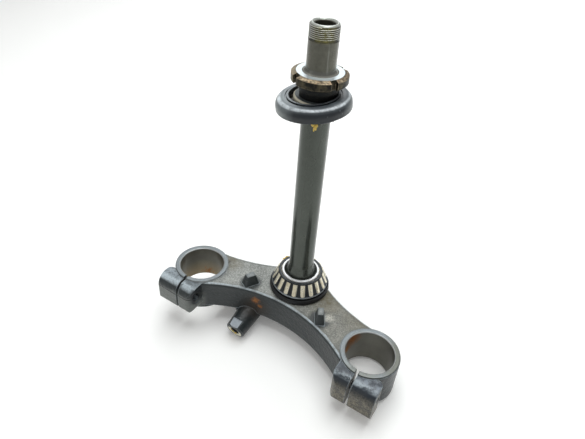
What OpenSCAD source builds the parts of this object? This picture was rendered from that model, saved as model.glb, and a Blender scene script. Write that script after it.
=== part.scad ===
// Lower triple clamp of a motorcycle fork, with its steering stem, both taper
// roller bearings, the adjuster nut and the loose dust cover.
// Millimetres. The steering axis is Z and Z = 0 is the plane of the turned
// rims on top of the two fork clamps. -Y is the front, where the clamps open.

/* [Fork clamps] */
// distance between the two fork bores
fork_spacing = 178.6; // [172:0.2:200]
// how far the fork bores stand in front of the steering axis
fork_offset = 32.6; // [28:0.2:38]
// bore for the fork tube
fork_bore_d = 41; // [37:0.5:43]
// wall of the clamp ring around the bore
clamp_wall = 4.8; // [4:0.1:7]
// height of the clamp from the rim to the bottom
clamp_h = 34; // [30:0.5:40]
// how far the turned rim stands above the casting
rim_lift = 1.5; // [0.5:0.1:3]
// step from the clamp wall in to the turned rim
rim_step = 0.5; // [0.2:0.1:1]
// chamfer at both ends of the fork bore
bore_chamfer = 0.8; // [0.3:0.1:1.2]
// width of the split that lets the clamp close
split_w = 2.6; // [1.5:0.1:4]

/* [Pinch lugs] */
// pinch bolt that each clamp takes
pinch_bolt_d = 8; // [6:1:8]
// room around the pinch bolt in the plain ear
pinch_clearance = 0.4; // [0.2:0.1:0.8]
// metal between the fork bore and the pinch bolt
pinch_web = 3; // [2:0.1:4]
// metal in front of the pinch bolt
pinch_front_wall = 5.4; // [4.5:0.1:8]
// length of the plain ear, on the side of the arm
inner_ear = 16.5; // [14:0.5:20]
// length of the threaded ear, on the outside
outer_ear = 22.5; // [18:0.5:26]
// height of the lugs, less than that of the clamp ring behind them
lug_h = 29; // [25:0.5:30]
// depth of the pinch bolt below the top of the lugs
pinch_drop = 11.5; // [10:0.5:13]
// round of the lugs' upper front edge
lug_round = 11; // [6:0.5:12]
// round of the lugs' lower front edge
lug_under_round = 4; // [2:0.5:6]
// round of the plain ear's front corner
ear_round = 7; // [4:0.5:12]
// round of the plain ear's lower corner
ear_end_round = 7; // [3:0.5:9]
// round of the threaded ear's rear corner
ear_back_round = 5; // [2:0.5:6]

/* [Arms and hub] */
// thickness of the arms
arm_h = 28; // [24:0.5:32]
// distance of the arms' front edge from the steering axis, at the middle
front_edge = 29.9; // [28:0.1:34]
// radius of the hollow front edge
front_r = 126; // [110:1:160]
// radius of the two hollow rear edges
rear_r = 144; // [120:2:170]
// sideways position of the rear edges' centres
rear_cx = 98; // [94:0.5:104]
// distance behind the axis of the rear edges' centres
rear_cy = 135.2; // [132:0.2:138]
// round of the arms' upper edges
edge_round = 3; // [1:0.5:4]
// wall of the hub around the stem
hub_wall = 12.5; // [11:0.5:17]
// how far the hub reaches below the arms
hub_drop = 6; // [3:0.5:8]
// wall left around the hollows underneath
under_wall = 7; // [5:0.5:9]
// floor of metal above the hollows underneath
under_floor = 12; // [8:0.5:16]

/* [Steering stops] */
// sideways position of the stops
stop_x = 37.3; // [34:0.1:42]
// distance of the stops in front of the axis
stop_y = 25.6; // [23:0.1:27]
// height of the stops above the arms
stop_h = 10.5; // [6:0.5:14]
// length of a stop at its foot
stop_len = 14.2; // [12:0.2:16]
// width of a stop at its foot
stop_w = 8.5; // [7:0.1:10]
// angle of a stop's length to the line between the forks
stop_turn = 61; // [40:1:80]
// lean of a stop's two ends
stop_end_lean = 16; // [5:1:18]
// lean of a stop's two sides
stop_side_lean = 9.5; // [3:0.5:12]

/* [Front boss] */
// sideways position of the boss under the left arm
boss_x = -34; // [-40:0.5:-28]
// distance of the boss's end face in front of the axis
boss_front = 54.4; // [50:0.2:58]
// depth of the middle of the end face below the rims
boss_drop = 39.6; // [38:0.2:42]
// angle by which the boss points down
boss_angle = 15; // [8:1:20]
// length of the boss under the arm
boss_len = 31; // [26:0.5:34]
// radius of the boss at its root
boss_root_r = 11; // [10:0.1:12]
// radius of the boss at its end face
boss_end_r = 9.4; // [8.6:0.1:9.8]
// radius of the wide mouth of the boss's hole
boss_mouth_r = 5.4; // [4.8:0.1:6]
// radius of the pad under the arm that carries the boss
boss_pad_r = 11.5; // [10:0.5:13]
// how far that pad reaches below the arm
boss_pad_h = 3.5; // [2:0.5:5]
// threaded hole in the boss
boss_hole_d = 8; // [6:0.5:9]

/* [Steering stem] */
// diameter of the stem where it carries the lower bearing and sits in the hub
seat_d = 30; // [28:0.5:32]
// diameter of the slim middle of the stem
tube_d = 21.8; // [19:0.1:22]
// diameter of the stem where it carries the upper race and nut
upper_seat_d = 25; // [24:0.5:25]
// diameter of the end above the nut
tip_d = 21; // [20.4:0.1:21.6]
// root diameter of the thread on the end
tip_thread_d = 20; // [19.4:0.1:20.2]
// height of the stem's top above the rims
stem_top = 238.7; // [236:0.1:250]
// length of thread on the end
tip_thread_len = 11; // [8:0.5:15]
// bore right through the stem
stem_bore_d = 14; // [10:0.5:15]

/* [Bearings] */
// angle between the rollers and the steering axis
roller_angle = 20; // [19:0.5:21]
// gap between a roller and the parts around it
roller_gap = 0.15; // [0.1:0.01:0.2]
// thickness of the pressed cages
cage_t = 0.9; // [0.6:0.05:1]

/* [Lower bearing] */
// width of the inner race
race_w = 17; // [16.4:0.1:17.6]
// wall of the race at its narrow face
race_wall = 2.3; // [2:0.1:2.8]
// how far the race's big rib stands out from the stem
race_rib = 6.5; // [6:0.1:7]
// distance from the stem to the middles of the rollers
roller_mid = 5.55; // [5.4:0.05:5.8]
// diameter of a roller at half its length
roller_d = 5.2; // [4.8:0.1:5.3]
// length of a roller
roller_len = 11; // [10.4:0.1:11.2]
// number of rollers
roller_count = 19; // [12:1:19]

/* [Upper bearing] */
// width of the inner race
upper_race_w = 15; // [14.4:0.1:15.6]
// wall of the race at its narrow face
upper_race_wall = 2.1; // [1.9:0.1:2.5]
// how far the race's big rib stands out from the stem
upper_race_rib = 5.1; // [4.7:0.1:5.3]
// distance from the stem to the middles of the rollers
upper_roller_mid = 4.8; // [4.6:0.05:5]
// diameter of a roller at half its length
upper_roller_d = 4.7; // [4.4:0.1:4.8]
// length of a roller
upper_roller_len = 9.4; // [9:0.1:9.6]
// number of rollers
upper_roller_count = 17; // [12:1:17]

/* [Lower dust seal] */
// how far the rubber seal reaches beyond the race's rib
seal_over = 5.7; // [4.8:0.1:7]
// thickness of the seal's washer under the race
seal_washer_t = 1.5; // [1:0.1:2]
// height of the seal's rim above the arm
seal_h = 5; // [4:0.1:5.4]

/* [Nut and dust cover] */
// height of the nut's upper face above the rims
nut_top = 205.7; // [200:0.1:212]
// outer radius of the nut's slotted flange
nut_r = 20.3; // [19:0.1:22]
// thickness of the slotted flange
nut_flange_h = 7.3; // [6:0.1:9]
// height of the whole nut
nut_h = 17.7; // [16:0.1:19]
// wall of the nut's hub around the stem
nut_wall = 2.1; // [1.8:0.1:3]
// number of slots for the hook spanner
nut_slots = 4; // [3:1:6]
// width of a slot
nut_slot_w = 5; // [3:0.5:6]
// depth of a slot
nut_slot_depth = 3.4; // [2:0.1:4]
// outer radius of the dust cover
cover_r = 27.7; // [26:0.1:30]
// radius of the hole in the dust cover
cover_hole_r = 17.8; // [17.4:0.1:18.6]
// height of the dust cover
cover_h = 9.4; // [8.6:0.1:11]
// thickness of the dust cover's sheet
cover_t = 1.6; // [1.2:0.1:2]
// round of the dust cover's shoulder
cover_round = 6.4; // [5:0.1:7]
// lean of the loose dust cover
cover_lean = 7; // [0:0.5:7.5]

/* [Hidden] */
$fn = 96;
eps = 0.05;
reach = 400;
fork_x = fork_spacing / 2;
fork_r = fork_bore_d / 2;
clamp_r = fork_r + clamp_wall;
rim_r = clamp_r - rim_step;
arm_top = -rim_lift;
arm_bottom = arm_top - arm_h;
pinch_r = pinch_bolt_d / 2;
pinch_y = fork_r + pinch_web + pinch_r;
pinch_z = arm_top - pinch_drop;
lug_bottom = arm_top - lug_h;
tap_ratio = 0.85;
spot_r = pinch_r + 3.4;
spot_depth = 0.8;
lug_front = pinch_y + pinch_r + pinch_front_wall;
lug_back = fork_r - 1.5;
front_cy = -front_edge - front_r;
hub_bottom = arm_bottom - hub_drop;
under_depth = arm_h - under_floor;
under_rib = 6;
rib_y = 12;
boss_flat = boss_end_r - 1.1;
boss_edge = 1;
boss_mouth = 2;
boss_pad_shift = 4;
boss_pad_y = front_edge - 1;
boss_flat_len = 9;
boss_hole_depth = 16;
boss_root_y = boss_front - boss_len * cos(boss_angle) + 4;
seat_r = seat_d / 2;
hub_r = seat_r + hub_wall;
hub_pad_r = seat_r + 4;
hub_foot_r = seat_r + 9;
under_clear_hub = hub_r + 0.5;
race_face_r = seat_r + race_wall;
race_rib_r = seat_r + race_rib;
pitch_r = seat_r + roller_mid;
seal_r = race_rib_r + seal_over;
tube_r = tube_d / 2;
upper_seat_r = upper_seat_d / 2;
upper_face_r = upper_seat_r + upper_race_wall;
upper_rib_r = upper_seat_r + upper_race_rib;
upper_pitch_r = upper_seat_r + upper_roller_mid;
tip_r = tip_d / 2;
stem_bottom = hub_bottom - 0.5;
race_bottom = seal_washer_t;
race_top = race_bottom + race_w;
neck_start = race_top - 3;
neck_r = seat_r - 1.7;
neck_end = race_top + 8.5;
nut_bottom = nut_top - nut_h;
nut_flange_bottom = nut_top - nut_flange_h;
nut_face_r = nut_r - 3.4;
nut_hub_r = upper_seat_r + nut_wall;
nut_turn = 60;
nut_chamfer = 1.4;
nut_sink = 0.3;
nut_foot_h = 5;
upper_top = nut_bottom;
upper_bottom = upper_top - upper_race_w;
shoulder_h = 3;
thread_end = nut_top - 0.3;
thread_cone = 2.6;
// each list below holds the lower bearing's value, then the upper one's
b_seat = [seat_r, upper_seat_r];
b_width = [race_w, upper_race_w];
b_face = [race_face_r, upper_face_r];
b_rib = [race_rib_r, upper_rib_r];
b_pitch = [pitch_r, upper_pitch_r];
b_roller_d = [roller_d, upper_roller_d];
b_roller_len = [roller_len, upper_roller_len];
b_count = [roller_count, upper_roller_count];
b_cage_over = [2.6, 2.2];
b_cage_flare = [5.5, 4.6];
b_cage_lip = [2.2, 1.8];
mid_ratio = 0.56;
small_rib = 2.2;
cage_drop = 0.7;
cage_lift = 3.5;
cage_fold = 1.3;
cage_step = 1.1;
// the cover hangs a little to the left of the stem and leans that way
lean_dir = 32.7;
cover_shift = 2.2;
cover_z = 179.2;
lip_w = 1.5;
groove_w = 1.1;
groove_depth = 0.9;

// A bearing stands on its wide face at Z = 0. Its rollers, race and cage
// windows are cones that share one apex on the axis, as they must to roll.
function mid_z(b) = b_width[b] * mid_ratio;
function apex_z(b) = mid_z(b) + b_pitch[b] / tan(roller_angle);
function apex_len(b) = b_pitch[b] / sin(roller_angle);
function taper(b) = atan(b_roller_d[b] / 2 / apex_len(b));
function race_angle(b) = roller_angle - taper(b);
function race_r(b, z) = (apex_z(b) - z) * tan(race_angle(b)) - roller_gap;
function big_end_len(b) = apex_len(b) + b_roller_len[b] / 2;
function rib_plane(b) = apex_z(b) - (big_end_len(b) + roller_gap) / cos(roller_angle);
function rib_z(b, r) = rib_plane(b) + r * tan(roller_angle);
function rib_root_r(b) = ((apex_z(b) - rib_plane(b)) * tan(race_angle(b)) - roller_gap)
    / (1 + tan(roller_angle) * tan(race_angle(b)));
function two_digits(n) = n < 10 ? str("0", n) : str(n);

// outline of the two arms seen from above, with hollow front and rear edges
module arm_outline(inset) {
    difference() {
        translate([-fork_x, front_cy])
            square([fork_spacing, -front_cy + hub_r]);
        translate([0, front_cy])
            circle(r = front_r + inset, $fn = 360);
        for (side = [-1, 1])
            translate([side * rear_cx, rear_cy])
                circle(r = rear_r + inset, $fn = 360);
    }
}

// ring that takes a rounded corner off an edge of radius r
module edge_cutter(r, round_r) {
    rotate_extrude($fn = 180)
        difference() {
            translate([r - eps, -round_r])
                square([round_r + eps, round_r + eps]);
            translate([r + round_r, -round_r])
                circle(r = round_r);
        }
}

module arms() {
    difference() {
        union() {
            translate([0, 0, arm_bottom])
                linear_extrude(height = arm_h)
                    arm_outline(0);
            translate([0, 0, arm_bottom])
                cylinder(r = hub_r, h = arm_h);
        }
        translate([0, front_cy, arm_top])
            edge_cutter(front_r, edge_round);
        for (side = [-1, 1])
            translate([side * rear_cx, rear_cy, arm_top])
                edge_cutter(rear_r, edge_round / 2);
    }
}

// one hollow under an arm, kept clear of the hub, the clamp, the rib and the boss
module under_hollow(side) {
    translate([0, 0, arm_bottom - eps])
        linear_extrude(height = under_depth + eps)
            difference() {
                intersection() {
                    arm_outline(under_wall);
                    translate([under_clear_hub - 2, -reach / 2])
                        square([fork_x - under_clear_hub + 2, reach]);
                }
                circle(r = under_clear_hub);
                translate([fork_x, -fork_offset])
                    circle(r = clamp_r + under_wall / 2);
                translate([0, -under_rib / 2 - rib_y])
                    square([reach, under_rib]);
                if (side == 1)
                    translate([-boss_x, -boss_root_y])
                        circle(r = boss_root_r + 4);
            }
}

// what has to go from a corner at the origin to give it the radius r
module corner_cutter(r) {
    difference() {
        translate([-eps, -eps])
            square([r + eps, r + eps]);
        translate([r, r])
            circle(r = r);
    }
}

// section of the lugs seen from the side: X of the section runs to the rear
module lug_side() {
    difference() {
        translate([-lug_front, lug_bottom])
            square([lug_front - lug_back, lug_h]);
        translate([-lug_front, arm_top])
            mirror([0, 1, 0])
                corner_cutter(lug_round);
        translate([-lug_front, lug_bottom])
            corner_cutter(lug_under_round);
    }
}

// the block of the two ears, before it is split and drilled
module lug_block() {
    difference() {
        translate([-inner_ear, 0, 0])
            rotate([90, 0, 90])
                linear_extrude(height = inner_ear + outer_ear)
                    lug_side();
        translate([-inner_ear, -lug_front, lug_bottom - eps])
            linear_extrude(height = lug_h + 2 * eps)
                corner_cutter(ear_round);
        translate([outer_ear, -lug_back, lug_bottom - eps])
            linear_extrude(height = lug_h + 2 * eps)
                rotate(180)
                    corner_cutter(ear_back_round);
        translate([-inner_ear, -lug_back + 1, lug_bottom])
            rotate([90, 0, 0])
                linear_extrude(height = lug_front - lug_back + 2)
                    corner_cutter(ear_end_round);
    }
}

// solid of one clamp about its own bore axis, outer ear towards +X
module clamp_body() {
    translate([0, 0, -clamp_h])
        cylinder(r = clamp_r, h = clamp_h - rim_lift);
    translate([0, 0, -rim_lift - 1])
        cylinder(r = rim_r, h = rim_lift + 1);
    lug_block();
}

// everything that is cut out of one clamp
module clamp_cuts() {
    translate([0, 0, -clamp_h - 1])
        cylinder(r = fork_r, h = clamp_h + 2);
    translate([0, 0, -bore_chamfer])
        cylinder(r1 = fork_r, r2 = fork_r + bore_chamfer + eps, h = bore_chamfer + eps);
    translate([0, 0, -clamp_h - eps])
        cylinder(r1 = fork_r + bore_chamfer + eps, r2 = fork_r, h = bore_chamfer + eps);
    translate([-split_w / 2, -lug_front - 1, -clamp_h - 1])
        cube([split_w, lug_front + 1, clamp_h + 2]);
    translate([0, -pinch_y, pinch_z])
        rotate([0, -90, 0])
            cylinder(d = pinch_bolt_d + 2 * pinch_clearance, h = inner_ear + 1);
    translate([-inner_ear - reach / 10, -pinch_y, pinch_z])
        rotate([0, 90, 0])
            cylinder(r = spot_r, h = reach / 10 + spot_depth);
    translate([0, -pinch_y, pinch_z])
        rotate([0, 90, 0])
            cylinder(d = pinch_bolt_d * tap_ratio, h = outer_ear + 1);
}

module both_clamps() {
    for (side = [0, 1])
        mirror([side, 0, 0])
            translate([fork_x, -fork_offset, 0])
                children();
}

// a block that stands on Z = 0, with two ends and two sides that lean inwards
module steering_stop() {
    difference() {
        translate([-stop_len / 2, -stop_w / 2, -1])
            cube([stop_len, stop_w, stop_h + 1]);
        for (turn = [0, 180])
            rotate([0, 0, turn]) {
                translate([stop_len / 2, -reach / 2, 0])
                    rotate([0, -stop_end_lean, 0])
                        cube(reach);
                translate([-reach / 2, stop_w / 2, 0])
                    rotate([stop_side_lean, 0, 0])
                        cube(reach);
            }
    }
}

// boss with a threaded hole; it starts at the end face and runs back
module front_boss() {
    difference() {
        union() {
            cylinder(r1 = boss_end_r - boss_edge, r2 = boss_end_r, h = boss_edge);
            translate([0, 0, boss_edge])
                cylinder(r1 = boss_end_r, r2 = boss_root_r, h = boss_len - boss_edge);
        }
        translate([0, 0, -eps])
            cylinder(d = boss_hole_d * tap_ratio, h = boss_hole_depth);
        translate([0, 0, -eps])
            cylinder(r1 = boss_mouth_r, r2 = boss_hole_d * tap_ratio / 2, h = boss_mouth);
        translate([-reach / 2, boss_flat, -eps])
            cube([reach, reach, boss_flat_len]);
    }
}

module boss_place() {
    translate([boss_x, -boss_front, -boss_drop])
        rotate([-90 + boss_angle, 0, 0])
            rotate([0, 0, 180])
                children();
}

module yoke() {
    color("#33383c")
        difference() {
            union() {
                difference() {
                    arms();
                    for (side = [0, 1])
                        mirror([side, 0, 0])
                            under_hollow(side);
                }
                both_clamps()
                    clamp_body();
                translate([0, 0, arm_top - 1])
                    cylinder(r = hub_pad_r, h = rim_lift + 1);
                translate([0, 0, hub_bottom])
                    cylinder(r = hub_foot_r, h = hub_drop + 1);
                for (side = [0, 1])
                    mirror([side, 0, 0])
                        translate([-stop_x, -stop_y, arm_top])
                            rotate([0, 0, stop_turn])
                                steering_stop();
                translate([boss_x - boss_pad_shift, -boss_pad_y, arm_bottom - boss_pad_h])
                    cylinder(r = boss_pad_r, h = boss_pad_h + 1);
                boss_place()
                    front_boss();
            }
            both_clamps()
                clamp_cuts();
            translate([0, 0, hub_bottom - 1])
                cylinder(r = seat_r, h = -hub_bottom + 2);
        }
}

module steering_stem() {
    color("#5a5b55")
        difference() {
            union() {
                translate([0, 0, stem_bottom])
                    cylinder(r = seat_r, h = neck_start - stem_bottom);
                translate([0, 0, neck_start])
                    cylinder(r1 = seat_r, r2 = neck_r, h = seat_r - neck_r);
                translate([0, 0, neck_start + seat_r - neck_r])
                    cylinder(r1 = neck_r, r2 = tube_r, h = neck_end - neck_start - seat_r + neck_r);
                translate([0, 0, neck_end])
                    cylinder(r = tube_r, h = upper_bottom - neck_end);
                translate([0, 0, upper_bottom - shoulder_h])
                    cylinder(r1 = tube_r, r2 = upper_seat_r + 1, h = shoulder_h);
                translate([0, 0, upper_bottom])
                    cylinder(r = upper_seat_r, h = thread_end - upper_bottom);
                translate([0, 0, thread_end])
                    cylinder(r1 = upper_seat_r, r2 = tip_r, h = thread_cone);
                translate([0, 0, thread_end + thread_cone])
                    cylinder(r = tip_r, h = stem_top - tip_thread_len - thread_end - thread_cone);
                translate([0, 0, stem_top - tip_thread_len])
                    cylinder(d = tip_thread_d, h = tip_thread_len - 1);
                translate([0, 0, stem_top - 1])
                    cylinder(d1 = tip_thread_d, d2 = tip_thread_d - 2, h = 1);
            }
            translate([0, 0, stem_bottom - 1])
                cylinder(d = stem_bore_d, h = stem_top - stem_bottom + 2);
            translate([0, 0, stem_top - 1.5])
                cylinder(d1 = stem_bore_d, d2 = stem_bore_d + 3, h = 1.5 + eps);
        }
}

module lower_dust_seal() {
    color("#15171a")
        rotate_extrude()
            polygon([
                [seat_r, 0],
                [hub_pad_r + 0.3, 0],
                [hub_pad_r + 0.3, arm_top],
                [seal_r - 1, arm_top],
                [seal_r, arm_top + 1],
                [seal_r, arm_top + seal_h - 1.2],
                [seal_r - 0.6, arm_top + seal_h],
                [seal_r - 1.5, arm_top + seal_h],
                [seal_r - 2.4, arm_top + 2],
                [race_rib_r + 0.4, seal_washer_t],
                [seat_r, seal_washer_t]
            ]);
}

// the two bearings are the same design; the upper one stands on its head
module lower_place() {
    translate([0, 0, race_bottom])
        children();
}

module upper_place() {
    translate([0, 0, upper_top])
        rotate([180, 0, 0])
            children();
}

module inner_race(b) {
    rotate_extrude()
        polygon([
            [b_seat[b], 0],
            [b_rib[b] - 1, 0],
            [b_rib[b], 1],
            [b_rib[b], rib_z(b, b_rib[b])],
            [rib_root_r(b), rib_z(b, rib_root_r(b))],
            [race_r(b, b_width[b] - small_rib), b_width[b] - small_rib],
            [b_face[b] - 0.4, b_width[b] - small_rib],
            [b_face[b] - 0.4, b_width[b] - 0.5],
            [b_face[b] - 0.9, b_width[b]],
            [b_seat[b], b_width[b]]
        ]);
}

// a roller lying on the race at the front, made larger all round by grow
module roller_solid(b, grow) {
    small_r = (apex_len(b) - b_roller_len[b] / 2) * tan(taper(b));
    big_r = big_end_len(b) * tan(taper(b));
    translate([0, 0, apex_z(b)])
        rotate([180 - roller_angle, 0, 0])
            translate([0, 0, big_end_len(b) - b_roller_len[b] - grow])
                cylinder(r1 = small_r + grow, r2 = big_r + grow,
                         h = b_roller_len[b] + 2 * grow, $fn = 48);
}

module at_roller(b, i) {
    rotate([0, 0, (i - 1) * 360 / b_count[b]])
        children();
}

// conical cage with one window for each roller and a fold at both ends
module roller_cage(b) {
    small_r = b_face[b] + b_cage_over[b];
    big_r = small_r + b_cage_flare[b];
    top = b_width[b] - cage_drop;
    low = cage_lift + cage_fold;
    difference() {
        rotate_extrude()
            polygon([
                [big_r - cage_t, cage_lift],
                [big_r, cage_lift],
                [big_r, low],
                [big_r - cage_step, low + cage_step],
                [small_r, top - 0.5],
                [small_r - 0.5, top],
                [small_r - b_cage_lip[b], top],
                [small_r - b_cage_lip[b], top - cage_t],
                [small_r - cage_t, top - cage_t],
                [big_r - cage_step - cage_t, low + cage_step],
                [big_r - cage_t, low]
            ]);
        for (i = [1 : b_count[b]])
            at_roller(b, i)
                roller_solid(b, roller_gap);
    }
}

module lower_inner_race() {
    color("#c8ccd0")
        lower_place()
            inner_race(0);
}

module lower_cage() {
    color("#23262a")
        lower_place()
            roller_cage(0);
}

module lower_roller(i) {
    color("#d8cfb0")
        lower_place()
            at_roller(0, i)
                roller_solid(0, 0);
}

module upper_inner_race() {
    color("#c4c2b2")
        upper_place()
            inner_race(1);
}

module upper_cage() {
    color("#23262a")
        upper_place()
            roller_cage(1);
}

module upper_roller(i) {
    color("#d8cfb0")
        upper_place()
            at_roller(1, i)
                roller_solid(1, 0);
}

module adjuster_nut() {
    color("#8a8471")
        difference() {
            union() {
                translate([0, 0, nut_bottom])
                    cylinder(r = nut_hub_r - 1, h = nut_flange_bottom - nut_bottom);
                translate([0, 0, nut_bottom + nut_foot_h])
                    cylinder(r = nut_hub_r, h = nut_flange_bottom - nut_bottom - nut_foot_h);
                translate([0, 0, nut_flange_bottom])
                    cylinder(r1 = nut_r - 1, r2 = nut_r, h = 1);
                translate([0, 0, nut_flange_bottom + 1])
                    cylinder(r = nut_r, h = nut_flange_h - 1 - nut_chamfer);
                translate([0, 0, nut_top - nut_chamfer])
                    cylinder(r1 = nut_r, r2 = nut_face_r, h = nut_chamfer);
            }
            translate([0, 0, nut_bottom - 1])
                cylinder(r = upper_seat_r, h = nut_h + 2);
            translate([0, 0, nut_top - nut_sink])
                cylinder(r1 = upper_seat_r, r2 = upper_seat_r + nut_sink + eps, h = nut_sink + eps);
            for (i = [1 : nut_slots])
                rotate([0, 0, nut_turn + i * 360 / nut_slots])
                    translate([nut_r - nut_slot_depth, -nut_slot_w / 2, nut_flange_bottom - 1])
                        cube([nut_slot_depth + 1, nut_slot_w, nut_flange_h + 2]);
        }
}

// section of the pressed cover, right of its axis; t insets it for the inside
module cover_section(t) {
    r = cover_r - t;
    top = cover_h - t;
    shoulder = cover_round - t;
    square([r, top - shoulder]);
    square([r - shoulder, top]);
    translate([r - shoulder, top - shoulder])
        circle(r = shoulder);
}

module dust_cover() {
    color("#1d2126")
        translate([-cover_shift * cos(lean_dir), -cover_shift * sin(lean_dir), cover_z])
            rotate([0, 0, lean_dir])
                rotate([0, -cover_lean, 0])
                    rotate_extrude()
                        difference() {
                            union() {
                                cover_section(0);
                                translate([0, cover_h - 1])
                                    square([cover_hole_r + lip_w, 1.6]);
                            }
                            translate([0, -1])
                                square([cover_hole_r, cover_h + 4]);
                            translate([0, -reach])
                                square([reach, reach]);
                            cover_section(cover_t);
                            translate([cover_hole_r + lip_w, cover_h - groove_depth])
                                square([groove_w, groove_depth + 1]);
                        }
}

yoke();
steering_stem();
lower_dust_seal();
lower_inner_race();
lower_cage();
for (i = [1 : roller_count])
    lower_roller(i);
upper_inner_race();
upper_cage();
for (i = [1 : upper_roller_count])
    upper_roller(i);
adjuster_nut();
dust_cover();
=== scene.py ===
# %% [markdown]
# A lower triple clamp lies on a pale floor with its steering stem in the air.
# The solids come from the CAD model and never move. This notebook gives them
# their finishes and adds what is too fine for the CAD: the thread on the stem,
# the grease, and the worn and rusty places.

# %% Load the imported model
import bpy
import bmesh
from math import cos, degrees, pi, radians, sin
from mathutils import Matrix, Vector


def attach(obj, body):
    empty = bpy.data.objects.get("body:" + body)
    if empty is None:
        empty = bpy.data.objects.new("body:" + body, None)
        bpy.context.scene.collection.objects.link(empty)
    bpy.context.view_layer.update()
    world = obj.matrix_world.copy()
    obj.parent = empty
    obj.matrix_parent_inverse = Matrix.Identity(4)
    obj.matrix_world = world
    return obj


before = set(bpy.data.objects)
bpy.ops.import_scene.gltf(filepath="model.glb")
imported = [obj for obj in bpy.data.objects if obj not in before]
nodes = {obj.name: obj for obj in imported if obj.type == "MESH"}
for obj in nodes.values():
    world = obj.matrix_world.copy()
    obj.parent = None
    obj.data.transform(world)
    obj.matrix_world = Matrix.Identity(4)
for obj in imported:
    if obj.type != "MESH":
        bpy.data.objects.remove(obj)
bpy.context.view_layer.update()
mm = 0.001

# %% [markdown]
# The camera stands where the photograph was taken. Its place and lens were
# solved from the ellipses of the bores and the bearing, so it is written as a
# position and two directions instead of being turned by eye.

# %% Camera
EYE = Vector((160.24, -300.20, 343.67)) * mm
LOOK = Vector((-0.39134, 0.67924, -0.62087)).normalized()
SIDE = Vector((0.83901, 0.54052, 0.06251)).normalized()
LIFT = SIDE.cross(LOOK)
PHOTO_WIDTH = 585.0   # pixels
FOCAL_LENGTH = 515.5  # pixels
SENSOR_WIDTH = 36.0   # millimetres

camera_data = bpy.data.cameras.new("camera")
camera_data.sensor_width = SENSOR_WIDTH
camera_data.lens = SENSOR_WIDTH * FOCAL_LENGTH / PHOTO_WIDTH
camera_data.clip_start = 0.01
camera_data.clip_end = 50.0
camera = bpy.data.objects.new("camera", camera_data)
camera.matrix_world = Matrix((
    (SIDE.x, LIFT.x, -LOOK.x, EYE.x),
    (SIDE.y, LIFT.y, -LOOK.y, EYE.y),
    (SIDE.z, LIFT.z, -LOOK.z, EYE.z),
    (0, 0, 0, 1)))
bpy.context.collection.objects.link(camera)
bpy.context.scene.camera = camera
print("lens", round(camera_data.lens, 2), "mm")

# %% [markdown]
# The casting does not stand level: it rests on the front boss, on the hub and
# on the right clamp. The floor is therefore a plane through those three
# points, and the object itself stays in its own frame.

# %% Floor
FLOOR_POINT = Vector((-33.7, -51.0, -48.4)) * mm
FLOOR_UP = Vector((-0.06433, -0.13676, 0.98851)).normalized()
FLOOR_REACH = 6.0  # metres from its middle to its edge
UP = Vector((0, 0, 1))


def make_object(name, bm):
    """Turn a bmesh into an object in the scene, and free the bmesh."""
    mesh = bpy.data.meshes.new(name)
    bm.to_mesh(mesh)
    bm.free()
    made = bpy.data.objects.new(name, mesh)
    bpy.context.collection.objects.link(made)
    return made


bm = bmesh.new()
bmesh.ops.create_grid(bm, x_segments=1, y_segments=1, size=FLOOR_REACH)
lean = UP.rotation_difference(FLOOR_UP).to_matrix().to_4x4()
bmesh.ops.transform(bm, matrix=Matrix.Translation(FLOOR_POINT) @ lean, verts=bm.verts)
floor = make_object("floor", bm)
print("floor leans", round(degrees(FLOOR_UP.angle(UP)), 1), "degrees")

# %% [markdown]
# Node materials are easier to read as arithmetic. A Value stands for a number
# or colour that the node tree works out at each point of a surface. Values are
# added, subtracted and multiplied as usual; a | b is the larger of two, and ~a
# is one minus a. fade turns a value into a mask between two limits, ramp does
# the same with limits in millimetres, and coat lays one colour over another.

# %% Values in a node tree
class Value:
    def __init__(self, finish, socket):
        self.finish = finish
        self.socket = socket

    def __add__(self, other):
        return self.finish.math("ADD", self, other)

    def __sub__(self, other):
        return self.finish.math("SUBTRACT", self, other)

    def __mul__(self, other):
        return self.finish.math("MULTIPLY", self, other)

    def __or__(self, other):
        return self.finish.math("MAXIMUM", self, other)

    def __invert__(self):
        return self.finish.math("SUBTRACT", 1.0, self)

    def __abs__(self):
        return self.finish.math("ABSOLUTE", self)

    def least(self, other):
        return self.finish.math("MINIMUM", self, other)

    def fade(self, low, high, bottom=0.0, top=1.0):
        return self.finish.add("ShaderNodeMapRange", {"clamp": True},
                               i0=self, i1=low, i2=high, i3=bottom, i4=top)

    def ramp(self, low, high, bottom=0.0, top=1.0):
        return self.fade(low * mm, high * mm, bottom, top)

    def coat(self, colour, mask):
        return self.finish.mix(mask, self, colour)

    def split(self):
        node = self.finish.node("ShaderNodeSeparateXYZ", Vector=self)
        return [Value(self.finish, axis) for axis in node.outputs]


print("values ready")

# %% [markdown]
# A Finish is one material. Its methods add nodes to the material's tree: a
# plain number or colour is written on the socket, and a Value is linked to it.
# Places are in object coordinates, so a finish stays on its solid in any pose.

# %% A helper for finishes
BEVEL_SAMPLES = 6


def input_key(name):
    """Turn i3 into 3 and Base_Color into "Base Color"."""
    return int(name[1:]) if name[1:].isdigit() else name.replace("_", " ")


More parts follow.
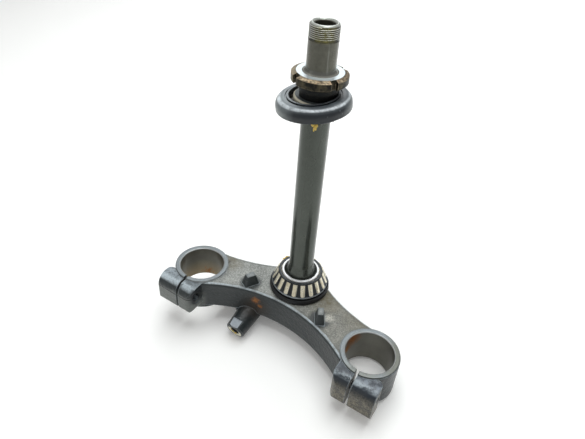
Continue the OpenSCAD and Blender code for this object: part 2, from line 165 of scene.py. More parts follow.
class Finish:
    def __init__(self, name):
        self.material = bpy.data.materials.new(name)
        self.material.use_nodes = True
        self.tree = self.material.node_tree
        self.shader = self.tree.nodes["Principled BSDF"]
        self.place = self.add("ShaderNodeTexCoord", out="Object")
        self.facing = self.add("ShaderNodeNewGeometry", out="Normal")

    def node(self, kind, settings=None, **inputs):
        node = self.tree.nodes.new(kind)
        for key, value in (settings or {}).items():
            setattr(node, key, value)
        for key, value in inputs.items():
            self.join(node.inputs[input_key(key)], value)
        return node

    def add(self, kind, settings=None, out=0, **inputs):
        return Value(self, self.node(kind, settings, **inputs).outputs[out])

    def join(self, socket, value):
        if isinstance(value, Value):
            self.tree.links.new(value.socket, socket)
        elif socket.type == "RGBA":
            socket.default_value = (*value, 1.0)
        else:
            socket.default_value = value

    def set(self, **inputs):
        for key, value in inputs.items():
            self.join(self.shader.inputs[input_key(key)], value)

    def math(self, operation, first, second=0.0):
        return self.add("ShaderNodeMath", {"operation": operation}, i0=first, i1=second)

    def vectors(self, operation, first, second, out="Vector"):
        return self.add("ShaderNodeVectorMath", {"operation": operation}, out,
                        i0=first, i1=second)

    def mix(self, amount, first, second):
        return self.add("ShaderNodeMix", {"data_type": "RGBA"}, 2,
                        i0=amount, i6=first, i7=second)

    def noise(self, scale, detail=4.0, roughness=0.6, place=None):
        return self.add("ShaderNodeTexNoise", out="Fac", Vector=place or self.place,
                        Scale=scale, Detail=detail, Roughness=roughness)

    def cells(self, scale, feature="F1"):
        return self.add("ShaderNodeTexVoronoi", {"feature": feature}, "Distance",
                        Vector=self.place, Scale=scale)

    def rings(self, scale, distortion):
        """Fine rings around the steering axis, as turning leaves them."""
        settings = {"wave_type": "RINGS", "rings_direction": "Z"}
        return self.add("ShaderNodeTexWave", settings, "Fac", Vector=self.place,
                        Scale=scale, Distortion=distortion, Detail=2.0)

    def distance(self, point):
        """Distance to a point that is given in millimetres."""
        return self.vectors("DISTANCE", self.place, Vector(point) * mm, "Value")

    def from_axis(self, x=0.0, y=0.0):
        """Distance to the upright line through x, y in millimetres."""
        flat = self.vectors("MULTIPLY", self.place, (1, 1, 0))
        return self.vectors("DISTANCE", flat, (x * mm, y * mm, 0), "Value")

    def spot(self, point, radius, inner=0.3):
        """A round mask: 1 within the inner share of the radius, 0 beyond it."""
        return self.distance(point).ramp(radius, radius * inner)

    def rounded(self, radius):
        return self.add("ShaderNodeBevel", {"samples": BEVEL_SAMPLES}, Radius=radius)

    def edges(self, radius, low=0.02, high=0.16):
        """How far a rounded normal turns away from the true one."""
        same = self.vectors("DOT_PRODUCT", self.rounded(radius * mm), self.facing, "Value")
        return (~same).fade(low, high)

    def bump(self, height, strength, distance, round_edge=0.0):
        node = self.node("ShaderNodeBump", Height=height, Strength=strength,
                         Distance=distance)
        if round_edge:
            self.join(node.inputs["Normal"], self.rounded(round_edge))
        self.set(Normal=Value(self, node.outputs[0]))


def paint_node(name, finish):
    mesh = nodes[name].data
    mesh.materials.clear()
    mesh.materials.append(finish.material)


print("finish helper ready")

# %% [markdown]
# The floor's own finish is a faint grey mottle. Seen by the camera or in a
# reflection it glows slightly, so that the background is white while the
# object's shadow stays.

# %% Floor finish
FLOOR_GLOW = 0.12
paper = Finish("pale_floor")
mottle = paper.noise(9.0, 3.0)
camera_ray = paper.add("ShaderNodeLightPath", out="Is Camera Ray")
glossy_ray = paper.add("ShaderNodeLightPath", out="Is Glossy Ray")
paper.set(Base_Color=paper.mix(mottle, (0.91, 0.91, 0.89), (0.95, 0.95, 0.93)),
          Roughness=0.9,
          Emission_Color=(1.0, 1.0, 0.99),
          Emission_Strength=(camera_ray | glossy_ray) * FLOOR_GLOW)
floor.data.materials.append(paper.material)
print("floor finish", paper.material.name)

# %% [markdown]
# The yoke is cast, painted charcoal, and has been on the road. On top it is
# covered with grey-brown dust, its edges are worn blue-grey and its rounded
# shoulders carry a painted sheen, the rims and bores are turned metal, and rust
# has come through on the arm and in the bores. All of that is one material that
# asks where on the casting a point lies. First come the masks that the later
# steps share.

# %% Yoke: where each finish belongs
FORK_X, FORK_Y = 89.3, -32.6  # the fork tubes' axes, left and right
STOP_X, STOP_Y = 37.3, -25.6  # the steering stops' middles

cast = Finish("cast_yoke")
x, y, z = cast.place.split()
nx, ny, nz = cast.facing.split()
near_fork = cast.from_axis(FORK_X, FORK_Y).least(cast.from_axis(-FORK_X, FORK_Y))
cloud = cast.noise(38.0, 5.0, 0.65)
grime = cast.noise(120.0, 6.0, 0.7)
chips = cast.noise(480.0, 3.0, 0.7)
speck = cast.noise(900.0, 3.0, 0.7)
# heights that wander, so that no boundary on the casting is a straight line
wander = (cast.noise(30.0, 2.0) - 0.5) * (4 * mm)
ragged = z + (grime - 0.5) * (14 * mm)

up_face = nz.fade(0.55, 0.9)
above = z.ramp(-22, -18)
on_left = x.ramp(0, -10)
rim = z.ramp(-1.1, -0.6) * near_fork.ramp(25.2, 24.9)
bore = near_fork.ramp(20.85, 20.65)
lug = y.ramp(-50.0, -54.5) * abs(x).ramp(66, 71)
left_lug = lug * on_left
right_lug = lug * x.ramp(0, 10)
print("yoke masks ready")

# %% [markdown]
# Dust lies on the level faces. It is thinner along their margins and browner
# on the right. Round the foot of each steering stop it is thinned as well, which
# leaves a painted shade in that corner.

# %% Yoke: paint and dust
paint = cast.mix(cloud, (0.016, 0.022, 0.024), (0.038, 0.046, 0.047))
margin = cast.edges(7.0, 0.002, 0.07).fade(0.0, 1.0, 1.0, 0.30)
dust_amount = up_face * (cloud + speck * 0.9).fade(0.62, 1.12, 0.28, 1.0) * margin
near_stop = 0.0
for stop_x in (-STOP_X, STOP_X):
    from_stop = cast.from_axis(stop_x, STOP_Y)
    near_stop = from_stop.ramp(11.5, 9.5) | near_stop
    # painted shade: less dust in the corner round the stop's foot
    foot_shade = from_stop.ramp(11.8, 8.0, 0.0, 0.80) * z.ramp(1.5, -0.5)
    dust_amount = dust_amount * ~foot_shade
dust_amount = dust_amount * above * ~lug
dust = cast.mix(speck, (0.13, 0.13, 0.105), (0.60, 0.62, 0.59))
brown_dust = cast.mix(speck, (0.095, 0.088, 0.064), (0.46, 0.46, 0.41))
dust = dust.coat(brown_dust, x.ramp(-10, 40))
colour = paint.coat(dust, dust_amount)
# a pale smear beside the right stop
pale = cast.distance((42.7, -19.9, -1.2)).ramp(6.5, 1.5)
pale = pale * up_face * speck.fade(0.36, 0.56, 0.2, 0.9)
colour = colour.coat((0.60, 0.58, 0.50), pale)
print("yoke paint and dust ready")

# %% [markdown]
# The lugs have kept their paint. The left pair has a painted blue-grey highlight
# on top and is dull with dust below; the right pair is nearly black, with small
# painted highlights on its outer ear, painted shade on the sides of its ears and
# brown road dirt on its fronts.

# %% Yoke: the lugs
# painted highlight on the tops of the left lugs, broken up like worn paint
left_top_highlight = left_lug * nz.fade(0.70, 0.92) * grime.fade(0.30, 0.60, 0.45, 1.0)
left_top_highlight = left_top_highlight * x.ramp(-86, -91, 0.6, 1.0) * chips.fade(0.38, 0.56, 0.60, 1.0)
colour = colour.coat((0.29, 0.335, 0.365), left_top_highlight)
colour = colour.coat((0.020, 0.027, 0.036), right_lug * nz.fade(0.1, 0.5))
# painted highlights in patches on the top of the right outer ear
right_top_highlight = right_lug * x.ramp(91, 94, 0.35, 1.0) * nz.fade(0.80, 0.97)
colour = colour.coat((0.20, 0.235, 0.27), right_top_highlight * grime.fade(0.44, 0.60, 0.05, 0.85))
left_low = left_lug * ragged.ramp(-9.5, -13.0) * nz.fade(0.5, 0.2)
colour = colour.coat((0.165, 0.180, 0.165), left_low * 0.80)
# painted shade on the side faces of the right ears
ear_side_shade = right_lug * nx.fade(0.80, 0.95)
colour = colour.coat((0.012, 0.014, 0.016), ear_side_shade * 0.85)

# oily brown dirt to the right of the bearing and beside both clamps
oily = cast.spot((30, -1, -1.5), 22) | cast.spot((-68, -14, -1.5), 15) * 0.8
oily = oily | cast.spot((66, -6, -3), 20) * 0.6
oily = oily * grime.fade(0.30, 0.62, 0.25, 1.0) * up_face
colour = colour.coat((0.115, 0.100, 0.058), oily)
colour = colour.coat((0.050, 0.040, 0.022), cast.spot((-71, -15, -1.5), 3.2) * 0.75)

dirt = x.ramp(55, 75) * y.ramp(-50, -58) * grime.fade(0.38, 0.62, 0.30, 1.0)
dirt = dirt * ragged.ramp(-3.5, -15.0) * nz.fade(0.85, 0.35, 0.1, 1.0)
dirt_colour = cast.mix(speck.fade(0.36, 0.60), (0.060, 0.050, 0.034), (0.29, 0.255, 0.18))
colour = colour.coat(dirt_colour, dirt)
print("lugs and oily dirt ready")

# %% [markdown]
# Edges are worn through the paint, and the rounded shoulders get a painted
# blue-white sheen that small chips break up. The holes for the pinch bolts stay
# dark inside.

# %% Yoke: wear
PINCH_Y, PINCH_Z = -60.1, -13.0  # the pinch bolts' axis

near_stop = near_stop * z.ramp(-1.0, 0.0)
rear_edge = (y + abs(x) * 0.28).ramp(-2, 4, 1.0, 0.45)
edge = cast.edges(1.6) * grime.fade(0.36, 0.60, 0.12, 0.85)
edge = edge * rear_edge * ~(near_stop * 0.75)
thin = nz.fade(0.74, 0.86) * grime.fade(0.40, 0.56, 0.15, 0.80)
# painted sheen: the upper part of each rounded shoulder is lightened as overhead light
# would
shoulder_sheen = nz.fade(0.62, 0.80) * nz.fade(0.995, 0.95) * above
shoulder_sheen = shoulder_sheen * grime.fade(0.30, 0.55, 0.40, 0.95) * cloud.fade(0.36, 0.56, 0.35, 1.0)
shoulder_sheen = shoulder_sheen * chips.fade(0.38, 0.54, 0.65, 1.0) * (~right_lug | thin)
shoulder_sheen = shoulder_sheen * ~(left_lug * x.ramp(-90, -88, 0.0, 0.22))
beside = cast.add("ShaderNodeCombineXYZ", i0=0.0, i1=y, i2=z)
from_bolt = cast.vectors("DISTANCE", beside, (0, PINCH_Y * mm, PINCH_Z * mm), "Value")
bolt_hole = from_bolt.ramp(8.2, 7.6) * abs(x).ramp(75, 74)
# worn edges are real wear, the shoulders' share is painted sheen
wear_and_sheen = (edge | shoulder_sheen) * ~bolt_hole
colour = colour.coat((0.50, 0.57, 0.605), wear_and_sheen)
# the flat tops of the steering stops are rubbed grey
stop_top = near_stop * z.ramp(3, 5) * nz.fade(0.80, 0.95) * grime.fade(0.3, 0.6, 0.15, 0.35)
colour = colour.coat((0.42, 0.47, 0.49), stop_top)
# painted shade where the left clamp's inner ear runs into the arm
inner_ear_shade = left_lug * x.ramp(-77.0, -73.5) * ragged.ramp(-21, -16) * nz.fade(0.97, 0.90)
colour = colour.coat((0.013, 0.017, 0.020), inner_ear_shade * 0.85)
print("yoke wear ready")

# %% [markdown]
# The rims on top of the clamps were turned, and so were their low side walls,
# the bores and the bores' chamfers.

# %% Yoke: turned rims and bores
turned = cast.mix(cast.rings(700.0, 1.5) * grime, (0.16, 0.18, 0.19), (0.36, 0.39, 0.40))
dull_part = cast.spot((112, -26, 0), 26, 0.5) | cast.spot((92, -56, 0), 20, 0.4) * 0.75
turned = turned.coat((0.15, 0.155, 0.135), dull_part)
colour = colour.coat(turned, rim * grime.fade(0.28, 0.5, 0.55, 1.0))
bore_colour = cast.mix(cloud, (0.080, 0.078, 0.062), (0.21, 0.205, 0.175))
colour = colour.coat(bore_colour, bore)
# on the left clamp the inner part of the rims' side wall is painted lighter, as painted
# light over its shade
rim_side = z.ramp(-2.2, -1.7) * near_fork.ramp(26.2, 25.4) * near_fork.ramp(24.2, 24.6)
side_colour_and_light = cast.mix(x.ramp(-94, -84) * on_left, (0.10, 0.11, 0.105), (0.34, 0.36, 0.36))
colour = colour.coat(side_colour_and_light, rim_side * nz.fade(0.9, 0.6))
chamfer = z.ramp(-1.1, -0.8) * near_fork.ramp(21.4, 21.2)
colour = colour.coat((0.55, 0.57, 0.56), chamfer * 0.7)
print("rims and bores ready")

# %% [markdown]
# Rust comes in patches. Each has a middle and a reach in millimetres, and a
# level that the flake pattern has to pass: the higher it is, the less rust.
# The lower part of the left bore is stained brown all along, and the arm beside
# the boss is stained round its rust. Last comes the casting's parting line,
# which runs across the fronts of the left lugs.

# %% Yoke: rust and the parting line
BORE_RUST = (((69.5, -26, -5), 11.0, 0.32), ((68.9, -32, -12), 9.0, 0.36),
             ((-98, -14, -31), 11.0, 0.49), ((-84, -13, -31), 9.0, 0.50),
             ((-70, -25, -24), 9.0, 0.50))
ARM_RUST = (((-26.2, -32.2, -12.0), 6.0, 0.40), ((-22.0, -31.6, -17.0), 5.0, 0.46))
SEAM_Z = -12.2
flakes = cast.noise(430.0, 6.0, 0.75)


def rust_patches(places):
    patches = 0.0
    for point, radius, low in places:
        reach = cast.spot(point, radius, 0.2)
        patch = reach * (flakes + reach * 0.22).fade(low + 0.12, low + 0.26)
        patches = patch | patches
    return patches


rust = rust_patches(BORE_RUST) * bore | rust_patches(ARM_RUST)
bore_low = bore * x.ramp(-60, -70) * z.ramp(-14, -31, 0.0, 0.80)
colour = colour.coat((0.30, 0.235, 0.135), bore_low)
stain = cast.distance((-26, -33, -20)).ramp(18, 4) * 0.7
colour = colour.coat((0.046, 0.033, 0.022), stain)
rust_colour = cast.mix(flakes, (0.125, 0.045, 0.014), (0.50, 0.20, 0.052))
colour = colour.coat(rust_colour, rust)

from_seam = abs(z + -SEAM_Z * mm + wander)
seam = from_seam.ramp(0.95, 0.45) * y.ramp(-60, -64) * on_left * ny.fade(-0.4, -0.8)
colour = colour.coat((0.010, 0.012, 0.013), seam * 0.9)
print("rust in", len(BORE_RUST) + len(ARM_RUST), "places")

# %% [markdown]
# The front boss points forward and 15 degrees down. Its barrel is nearly black,
# the flat on its top is a bare blue-grey lightened by a painted highlight, and the
# lower half of its mouth is cream with old dirt. The hole inside is painted dark
# as shade.

# %% Yoke: the front boss
BOSS_X = -34.0
BOSS_COS, BOSS_SIN = 0.966, 0.259
BOSS_END, BOSS_INSIDE = (BOSS_X, -54.4, -39.6), (BOSS_X, -50.0, -38.4)
INTO_BOSS_START = 62.81 * mm

into_boss = y * BOSS_COS + z * BOSS_SIN + INTO_BOSS_START
up_boss = y * -BOSS_SIN + z * BOSS_COS
barrel = z.ramp(-25.5, -28.5) * y.ramp(-36, -40) * abs(x + -BOSS_X * mm).ramp(13.5, 12.0)
colour = colour.coat((0.010, 0.015, 0.017), barrel * 0.60)
mouth = cast.distance(BOSS_END).ramp(7.6, 7.3) * into_boss.ramp(0.9, 0.6)
mouth = mouth * (up_boss + wander).ramp(-21.2, -22.6)
cream = cast.mix(grime, (0.60, 0.58, 0.44), (0.92, 0.90, 0.78))
colour = colour.coat(cream, mouth)
# the bare flat on the boss, lightened by a painted highlight
flat = y.ramp(-43.5, -44.5) * z.ramp(-28, -29) * nz.fade(0.93, 0.955) * x.ramp(-29.6, -30.1)
colour = colour.coat((0.33, 0.37, 0.405), flat * grime.fade(0.3, 0.5, 0.60, 1.0))
# painted shade inside the boss's hole
hole_shade = cast.distance(BOSS_INSIDE).ramp(6.2, 5.8) * into_boss.ramp(0.6, 1.0)
colour = colour.coat((0.012, 0.012, 0.010), hole_shade)
print("boss mouth and flat ready")

# %% [markdown]
# The casting's skin is a fine cell pattern under coarser grime. Machined faces
# are smooth, dust and rust are rough, and the stops' edges are rounded more.

# %% Yoke: surface and gloss
machined = rim | bore | mouth
skin = cast.cells(420.0, "SMOOTH_F1")
height = (skin * 0.8 + grime * 2.4) * ~(machined * 0.85) - seam * 0.5
rough = dust_amount.fade(0.0, 1.0, 0.34, 0.60) + rust * 0.3 - shoulder_sheen * 0.08
rough = rough + inner_ear_shade * 0.25
cast.set(Base_Color=colour, Roughness=rough, Specular_IOR_Level=0.42,
         Metallic=machined * 0.55)
cast.bump(height, 0.65, 0.5 * mm, near_stop.fade(0.0, 1.0, 1.3 * mm, 3.0 * mm))
paint_node("yoke", cast)
print("yoke finished")

# %% [markdown]
# The stem is plain steel with a dark olive film of old oil. It has fine
# scratches along its length, and above the nut it is bare. In the thread at the
# very top the crests are bright, the roots are black, and a greenish residue
# sits at the front.

# %% Stem finish
stem = Finish("oiled_stem")
stem_x, stem_y, stem_z = stem.place.split()
stem_r = stem.from_axis()
film = stem.noise(55.0, 5.0, 0.6)
spots = stem.noise(240.0, 4.0, 0.7)
stretched = stem.add("ShaderNodeMapping", Vector=stem.place, Scale=(420.0, 420.0, 14.0))
scratch = stem.noise(1.0, 4.0, 0.7, stretched)
oil = stem.mix(film, (0.044, 0.051, 0.042), (0.092, 0.103, 0.089))
bare = stem.mix(spots, (0.060, 0.060, 0.044), (0.165, 0.163, 0.135))
oil = oil.coat(bare, stem_z.ramp(185, 206))

in_thread = stem_z.ramp(227.8, 228.2)
root = in_thread * stem_z.ramp(237.6, 237.2) * stem_r.ramp(10.22, 10.04)
oil = oil.coat((0.012, 0.012, 0.009), root * stem_r.ramp(8.5, 9.0))
crest = in_thread * stem_r.ramp(10.1, 10.4)
oil = oil.coat((0.78, 0.79, 0.73), crest)
front = (stem_x * 45.0 + stem_y * -84.0).fade(0.55, 0.95)
residue = stem_z.ramp(227.0, 229.0) * front * spots.fade(0.36, 0.58, 0.1, 0.85)
oil = oil.coat((0.24, 0.22, 0.07), residue)
tip_face = stem_z.ramp(237.4, 238.0) * stem_r.ramp(7.0, 7.4)
oil = oil.coat((0.62, 0.65, 0.60), tip_face * 0.85)
# a painted highlight on the flare just above the nut, where it catches the light
flare_highlight = stem_z.ramp(205.0, 205.4) * stem_z.ramp(209.2, 207.8)
oil = oil.coat((0.20, 0.205, 0.185), flare_highlight * 0.6)
oil = oil.coat((0.50, 0.50, 0.44), flare_highlight * stem_z.ramp(206.8, 206.0, 0.0, 0.6))
oil = oil.coat((0.34, 0.35, 0.33), scratch.fade(0.60, 0.72, 0.0, 0.5))
stem.set(Base_Color=oil, Metallic=0.65, Roughness=film.fade(0.3, 0.7, 0.16, 0.28),
         Specular_IOR_Level=0.75)
stem.bump(scratch, 0.12, 0.2 * mm, 0.6 * mm)
paint_node("steering_stem", stem)
print("stem finished")

# %% [markdown]
# The thread on the end is a real helix. A small ridge with a flat crest is
# placed beside the stem and spun around it while it climbs, one pitch a turn,
# which is how a thread is cut on a lathe.

# %% Thread on the stem
PITCH, TURNS, STEPS = 1.25 * mm, 6.8, 40
CORE_R, CREST_R = 9.96 * mm, 10.48 * mm
THREAD_START = 228.7 * mm
RIDGE = ((CORE_R, -0.42), (CREST_R, -0.06), (CREST_R, 0.06), (CORE_R, 0.42))

bm = bmesh.new()
ridge = [bm.verts.new((r, 0, THREAD_START + rise * PITCH)) for r, rise in RIDGE]
section = bm.faces.new(ridge)
bmesh.ops.spin(bm, geom=[section], cent=(0, 0, 0), axis=(0, 0, 1),
               dvec=(0, 0, PITCH / STEPS), angle=2 * pi * TURNS,
               steps=int(STEPS * TURNS), use_merge=False, use_duplicate=False)
bmesh.ops.recalc_face_normals(bm, faces=bm.faces)
thread = make_object("stem_thread", bm)
thread.data.materials.append(stem.material)
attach(thread, "clamp")
print("thread has", len(thread.data.polygons), "faces")

# %% [markdown]
# Bearing steel is ground and bright. The lower race carries fine rings from the
# grinding wheel and a little staining; the upper one is dull with oil, but for
# a pale rim. The lower rollers look warm because they sit in grease, and the
# upper ones are black with it.

# %% Race finishes
race = Finish("ground_race")
race_rings = race.rings(900.0, 1.0)
race_stain = race.noise(160.0, 5.0, 0.65).fade(0.45, 0.7, 0.0, 0.75)
race.set(Base_Color=race.mix(race_stain, (0.93, 0.94, 0.95), (0.62, 0.61, 0.56)),
         Metallic=0.25, Roughness=race_rings.fade(0.0, 1.0, 0.20, 0.30))
race.bump(race_rings, 0.05, 0.1 * mm, 0.3 * mm)
paint_node("lower_inner_race", race)

dull_race = Finish("oily_race")
dull_stain = dull_race.noise(240.0, 5.0, 0.7)
race_rim = dull_race.from_axis().ramp(16.3, 16.7) * dull_stain.fade(0.3, 0.5, 0.5, 1.0)
dull_steel = dull_race.mix(dull_stain, (0.060, 0.075, 0.080), (0.17, 0.19, 0.19))
dull_race.set(Base_Color=dull_steel.coat((0.72, 0.68, 0.54), race_rim), Metallic=0.35,
              Roughness=dull_stain.fade(0.3, 0.7, 0.38, 0.55))
dull_race.bump(dull_stain, 0.2, 0.1 * mm, 0.3 * mm)
paint_node("upper_inner_race", dull_race)
print("races finished")

# %% Roller finishes
def roller_finish(name, bright, dull):
    roller = Finish(name)
    tarnish = roller.noise(300.0, 4.0, 0.6)
    roller.set(Base_Color=roller.mix(tarnish.fade(0.35, 0.7), bright, dull),
               Metallic=0.55, Roughness=tarnish.fade(0.3, 0.7, 0.22, 0.42),
               Coat_Weight=0.3)
    roller.bump(tarnish, 0.08, 0.1 * mm, 0.3 * mm)
    return roller


greased = roller_finish("greased_roller", (0.92, 0.87, 0.70), (0.68, 0.60, 0.42))
blackened = roller_finish("blackened_roller", (0.060, 0.055, 0.042), (0.022, 0.020, 0.016))
roller_names = [name for name in nodes if "_roller_" in name]
for name in roller_names:
    paint_node(name, greased if name.startswith("lower") else blackened)
print("rollers finished:", len(roller_names))

# %% [markdown]
# The pressed cages are black, with silver that is partly rubbed steel and
# partly painted highlight: on the fold at the wide end, a little on the lip at
# the other end, and along the edges.

# %% Cage finish
cage = Finish("black_cage")
cage_up = cage.facing.split()[2]
cage_rub = cage.noise(260.0, 5.0, 0.7)
cage_black = cage.mix(cage_rub, (0.008, 0.010, 0.012), (0.030, 0.033, 0.034))
cage_edge = cage.edges(0.5, 0.03, 0.2) * cage_rub.fade(0.30, 0.55, 0.2, 1.0)
cage_fold = cage.from_axis().ramp(25.0, 25.3) * cage_rub.fade(0.25, 0.5, 0.5, 1.0)
cage_lip = cage_up.fade(0.8, 0.95) * cage_rub.fade(0.25, 0.6, 0.2, 0.7)
# partly rubbed steel, partly painted highlight
rubbed_and_highlit = cage_edge | cage_fold | cage_lip * 0.14
cage.set(Base_Color=cage_black.coat((0.27, 0.30, 0.32), rubbed_and_highlit), Metallic=0.4,
         Roughness=cage_rub.fade(0.3, 0.7, 0.28, 0.5))
cage.bump(cage_rub, 0.15, 0.1 * mm, 0.4 * mm)
for name in ("lower_cage", "upper_cage"):
    paint_node(name, cage)
print("cages finished")

# %% [markdown]
# The adjuster nut has a bright face where the upper clamp used to sit, and
# dark oily dirt on its slotted edge, with brassy steel showing through.

# %% Nut finish
nut = Finish("dirty_nut")
nut_x, _, nut_z = nut.place.split()
nut_up = nut.facing.split()[2].fade(0.75, 0.95)
nut_r = nut.from_axis()
nut_grime = nut.noise(210.0, 6.0, 0.72)
nut_streaks = nut.noise(620.0, 4.0, 0.7)
nut_steel = nut.mix(nut_grime.fade(0.44, 0.64), (0.010, 0.010, 0.008),
                    (0.085, 0.072, 0.044))
nut_edge = nut.edges(0.8) * nut_grime.fade(0.36, 0.6, 0.3, 1.0)
nut_steel = nut_steel.coat((0.46, 0.40, 0.28), nut_edge)
brass = nut.mix(nut_grime.fade(0.4, 0.6), (0.30, 0.20, 0.11), (0.52, 0.42, 0.28))
ring_top = nut_up * nut_r.ramp(17.0, 17.4) * nut_streaks.fade(0.42, 0.58, 0.12, 0.90)
nut_steel = nut_steel.coat(brass, ring_top)
nut_left = nut_x.ramp(-6, -12) * nut_grime.fade(0.36, 0.60, 0.0, 0.55)
nut_steel = nut_steel.coat((0.40, 0.35, 0.24), nut_left)
nut_steel = nut_steel.coat((0.014, 0.016, 0.017), nut_z.ramp(199, 197) * 0.85)
bright = nut.mix(nut_grime, (0.56, 0.63, 0.65), (0.72, 0.78, 0.79))
nut_face = nut_up * nut_z.ramp(204.6, 205.2) * nut_r.ramp(17.1, 16.8)
nut_steel = nut_steel.coat(bright, nut_face)
nut.set(Base_Color=nut_steel, Metallic=nut_face.fade(0.0, 1.0, 0.75, 0.6),
        Roughness=nut_face.fade(0.0, 1.0, 0.42, 0.36))
nut.bump(nut_grime, 0.35, 0.3 * mm, 0.5 * mm)
paint_node("adjuster_nut", nut)
print("nut finished")

# %% [markdown]
# The dust cover is a pressed sheet with satin blue-black paint. Small bright
# scratches sit on it and a soft bloom of dust lies on top. Both sides are
# lightened by a painted reflection, and a pale band of painted highlight runs
# in patches round its shoulder.

# %% Dust cover finish
cover = Finish("satin_cover")
cover_x, cover_y, _ = cover.place.split()
cover_tilt = cover.facing.split()[2]
cover_cloud = cover.noise(90.0, 5.0, 0.65)
cover_patches = cover.noise(260.0, 3.0, 0.6)
cover_fine = cover.noise(1400.0, 2.0, 0.6)
black = cover.mix(cover_cloud, (0.005, 0.009, 0.013), (0.014, 0.020, 0.026))
scratches = cover.cells(170.0).fade(0.085, 0.05, 0.0, 0.7)
black = black.coat((0.24, 0.26, 0.27), scratches)
leftward = cover_x.ramp(10, -16, 0.45, 1.0)
bloom = cover_tilt.fade(0.45, 0.95) * leftward * cover_cloud.fade(0.3, 0.7, 0.45, 0.85)
black = black.coat((0.32, 0.36, 0.385), bloom)
across = abs(cover_x * 0.84 + cover_y * 0.54)
# painted reflection on both sides of the cover
side_reflection = across.ramp(17.0, 26.2) * cover_cloud.fade(0.3, 0.6, 0.5, 1.0)
black = black.coat((0.195, 0.225, 0.230), side_reflection * 0.9)
# painted highlight in patches round the cover's shoulder
cover_highlight = (cover_tilt + leftward.fade(0.45, 1.0, 0.0, 0.14)).fade(0.68, 0.80)
cover_highlight = cover_highlight * cover_tilt.fade(0.93, 0.86) * cover_patches.fade(0.34, 0.54, 0.45, 1.0)
cover_highlight = cover_highlight * cover_cloud.fade(0.38, 0.60, 0.35, 1.0)
black = black.coat((0.72, 0.78, 0.81), cover_highlight)
black = black.coat((0.26, 0.29, 0.30), cover.edges(0.6) * 0.5)
cover.set(Base_Color=black, Roughness=cover_cloud.fade(0.3, 0.7, 0.34, 0.46),
          Coat_Weight=0.2, Coat_Roughness=0.25)
cover.bump(cover_fine, 0.08, 0.1 * mm, 0.5 * mm)
paint_node("dust_cover", cover)
print("dust cover finished")

# %% [markdown]
# The seal under the lower bearing is black rubber: matte, and slightly brown
# where dust sticks to it.

# %% Seal finish
rubber = Finish("rubber_seal")
rubber_dust = rubber.noise(140.0, 5.0, 0.7)
rubber.set(Base_Color=rubber.mix(rubber_dust.fade(0.45, 0.75), (0.005, 0.006, 0.008),
                                 (0.022, 0.021, 0.018)),
           Roughness=rubber_dust.fade(0.3, 0.7, 0.42, 0.66), Specular_IOR_Level=0.35)
rubber.bump(rubber_dust, 0.2, 0.2 * mm, 0.6 * mm)
paint_node("lower_dust_seal", rubber)
print("seal finished")

# %% [markdown]
# Old grease stands up in soft lumps behind the lower bearing, under the dust
# cover and in the mouth of the front boss. Each lump starts as a fine ball,
# is pushed in and out by a few smooth waves so that no two are alike, and is
# squeezed to the space it fills. A patch of grease is a few lumps together,
# each with its middle and its half sizes in millimetres and its turn.

# %% Grease
UNDER_COVER = (((3.8, -10.4, 169.7), (0.7, 1.6, 1.2), -70),
               ((5.9, -9.4, 169.3), (0.8, 1.5, 1.4), -58),
               ((5.2, -9.8, 167.3), (0.8, 1.3, 1.9), -62),
               ((4.6, -10.1, 165.8), (0.5, 0.7, 0.9), -66))
ON_BOSS = (((-36.7, -53.3, -42.6), (1.2, 0.6, 0.8), 0),
           ((-34.0, -53.1, -43.7), (1.4, 0.6, 0.8), 0),
           ((-38.2, -53.8, -40.9), (0.5, 0.5, 0.7), 0))
ON_CAGE = (((-20.4, 3.6, 15.9), (1.1, 2.2, 1.4), 170),
           ((-19.5, 7.2, 16.4), (1.1, 2.0, 1.2), 159))
WAVE_HEIGHT = 0.13

grease = Finish("old_grease")
grease_tone = grease.noise(420.0, 4.0, 0.6)
grease.set(Base_Color=grease.mix(grease_tone, (0.55, 0.33, 0.035), (0.86, 0.66, 0.16)),
           Roughness=0.32, Subsurface_Weight=0.15, Subsurface_Scale=0.002)
grease.bump(grease_tone, 0.25, 0.4 * mm)


def grease_patch(name, lumps, body="clamp"):
    bm = bmesh.new()
    for seed, (centre, size, turn) in enumerate(lumps):
        ball = bmesh.ops.create_icosphere(bm, subdivisions=3, radius=1.0)["verts"]
        for vert in ball:
            wave = sin(3.1 * vert.co.x + seed) * cos(2.7 * vert.co.y - seed)
            wave += 0.6 * sin(5.3 * vert.co.z + 2 * seed)
            vert.co *= 1.0 + WAVE_HEIGHT * wave
        bmesh.ops.scale(bm, vec=[s * mm for s in size], verts=ball)
        turned_by = Matrix.Rotation(radians(turn), 3, "Z")
        bmesh.ops.rotate(bm, cent=(0, 0, 0), matrix=turned_by, verts=ball)
        bmesh.ops.translate(bm, vec=[c * mm for c in centre], verts=ball)
    patch = make_object(name, bm)
    mesh = patch.data
    mesh.polygons.foreach_set("use_smooth", [True] * len(mesh.polygons))
    mesh.materials.append(grease.material)
    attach(patch, body)


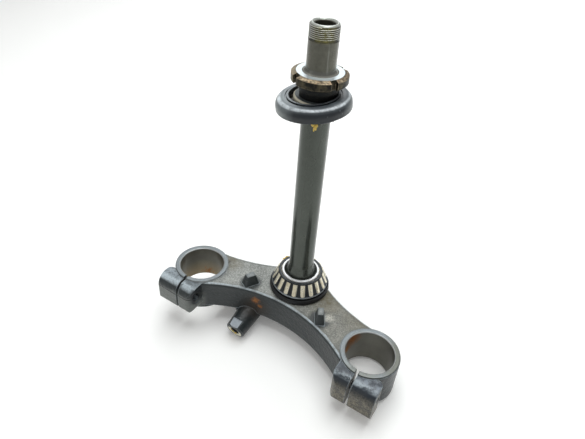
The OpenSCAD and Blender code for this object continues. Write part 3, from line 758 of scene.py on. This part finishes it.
grease_patch("grease_under_cover", UNDER_COVER)
grease_patch("grease_on_boss", ON_BOSS)
grease_patch("grease_on_cage", ON_CAGE, "lower_cage")
print("grease lumps:", len(UNDER_COVER) + len(ON_BOSS) + len(ON_CAGE))

# %% [markdown]
# The main light is one broad lamp overhead: it puts the blue-white sheen on
# every upper edge and keeps the shadow close under the casting. A window
# behind and a weak fill from the front left add to it. The sky is white where
# the camera looks straight at it. For everything else it is a dimmer lamp, so
# that metal reflects a pale grey and the shadow stays.

# %% Lamps and sky
LAMP_TARGET = Vector((0, 0, 0.05))
SKY_AS_LAMP, SKY_SEEN = 0.40, 1.0


def softbox(name, place, size, power, colour):
    data = bpy.data.lights.new(name, "AREA")
    data.shape = "DISK"
    data.size = size
    data.energy = power
    data.color = colour
    lamp = bpy.data.objects.new(name, data)
    lamp.location = place
    lamp.rotation_euler = (LAMP_TARGET - Vector(place)).to_track_quat("-Z", "Y").to_euler()
    bpy.context.collection.objects.link(lamp)


softbox("overhead", (-0.05, 0.24, 1.25), 1.15, 14.0, (0.96, 0.985, 1.0))
softbox("window", (-0.55, 0.85, 0.85), 0.8, 2.5, (0.95, 0.98, 1.0))
softbox("fill", (-0.9, -0.9, 0.7), 0.9, 1.0, (1.0, 0.99, 0.97))

world = bpy.data.worlds.new("studio")
bpy.context.scene.world = world
world.use_nodes = True
sky = world.node_tree
sky_rays = sky.nodes.new("ShaderNodeLightPath")
looked_at = sky.nodes.new("ShaderNodeMath")
looked_at.operation = "MAXIMUM"
sky.links.new(sky_rays.outputs["Is Camera Ray"], looked_at.inputs[0])
sky.links.new(sky_rays.outputs["Is Transmission Ray"], looked_at.inputs[1])
level = sky.nodes.new("ShaderNodeMapRange")
level.inputs["To Min"].default_value = SKY_AS_LAMP
level.inputs["To Max"].default_value = SKY_SEEN
sky.links.new(looked_at.outputs[0], level.inputs["Value"])
background = sky.nodes["Background"]
background.inputs["Color"].default_value = (1.0, 1.0, 1.0, 1.0)
sky.links.new(level.outputs[0], background.inputs["Strength"])
bpy.context.scene.view_settings.view_transform = "Standard"
print("lamps and sky ready")

# %% The end
print("scene ready")
